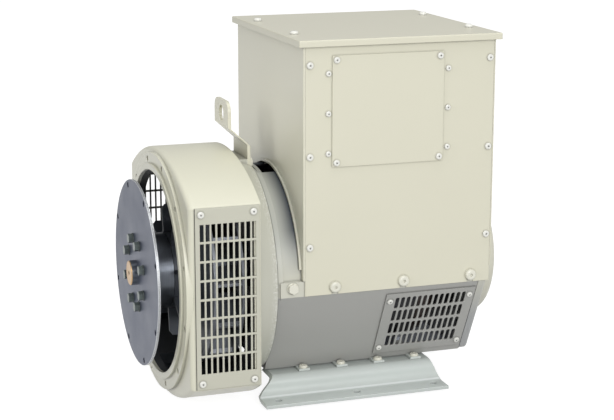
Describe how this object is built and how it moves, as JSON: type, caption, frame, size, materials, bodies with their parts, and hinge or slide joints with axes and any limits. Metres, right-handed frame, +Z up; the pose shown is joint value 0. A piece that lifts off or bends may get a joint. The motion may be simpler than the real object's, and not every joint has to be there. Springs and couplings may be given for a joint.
{
  "type": "generator alternator head",
  "caption": "Single-bearing brushless alternator head: fan adaptor with coupling discs, stator frame on pressed feet, and a tall terminal box astride the barrel.",
  "frame": {"origin": "where the shaft axis meets the engine face of the drive-end flange", "axes": "+X along the shaft from the engine end to the free end; +Z up; the feet stand below on -Z"},
  "size_m": [0.698, 0.4624, 0.6916],
  "materials": {
    "casting_paint": "satin, cast texture",
    "box_paint": "satin sheet-metal paint",
    "frame_paint": "satin",
    "foot_steel": "satin pale grey",
    "disc_steel": "dark bare steel",
    "shaft_steel": "turned",
    "zinc": "zinc plated",
    "fan_alloy": "dark cast",
    "laminations": "varnished laminations",
    "winding": "varnished copper winding",
    "brass": "bright",
    "moulding": "moulded",
    "heat_sink": "plain",
    "bearing_steel": "ground"
  },
  "bodies": {
    "frame": {"de_adaptor": "casting_paint", "nde_bracket": "casting_paint", "nde_end_cover": "casting_paint", "outlet_screen_left": "casting_paint", "outlet_screen_right": "casting_paint", "box_side_panel_left": "box_paint", "box_side_panel_right": "box_paint", "box_end_panel_de": "box_paint", "box_end_panel_nde": "box_paint", "box_lid": "box_paint", "regulator_cover": "box_paint", "lifting_lug_de": "box_paint", "lifting_lug_nde": "box_paint", "stator_frame": "frame_paint", "inlet_grille_left": "frame_paint", "inlet_grille_right": "frame_paint", "foot_left": "foot_steel", "foot_right": "foot_steel", "outlet_screen_screws_left": "zinc", "outlet_screen_screws_right": "zinc", "foot_bolts_left": "zinc", "foot_bolts_right": "zinc", "lifting_lug_de_bolts": "zinc", "lifting_lug_nde_bolts": "zinc", "box_lid_screws": "zinc", "box_panel_screws_left": "zinc", "box_panel_screws_right": "zinc", "saddle_bolts_left": "zinc", "saddle_bolts_right": "zinc", "regulator_cover_screws": "zinc", "regulator_tray_screws": "zinc", "inlet_grille_screws_left": "zinc", "inlet_grille_screws_right": "zinc", "nde_end_cover_screws": "zinc", "box_floor": "zinc", "regulator_tray": "zinc", "stator_core": "laminations", "exciter_stator": "laminations", "stator_winding_de": "winding", "stator_winding_nde": "winding", "exciter_coils": "winding", "terminal_studs": "brass", "terminal_block": "moulding", "regulator": "moulding", "bearing_outer_ring": "bearing_steel"},
    "rotor": {"shaft": "shaft_steel", "coupling_discs": "disc_steel", "coupling_bolts": "zinc", "fan": "fan_alloy", "rotor_core": "laminations", "rotor_coils": "winding", "rotor_end_turns": "winding", "exciter_rotor": "laminations", "rectifier_plates": "heat_sink", "diodes": "heat_sink", "bearing_inner_ring": "bearing_steel"},
    "ball_cage": {"bearing_balls": "bearing_steel", "bearing_cage": "brass"}
  },
  "joints": [
    {"name": "rotor_spin", "type": "hinge", "parent": "frame", "child": "rotor", "pos_m": [0.6035, 0, 0], "axis": [1, 0, 0], "continuous": true},
    {"name": "cage_spin", "type": "hinge", "parent": "frame", "child": "ball_cage", "pos_m": [0.6035, 0, 0], "axis": [1, 0, 0], "continuous": true}
  ],
  "couplings": [
    {"joint": "cage_spin", "follows": "rotor_spin", "ratio": 0.3825}
  ]
}
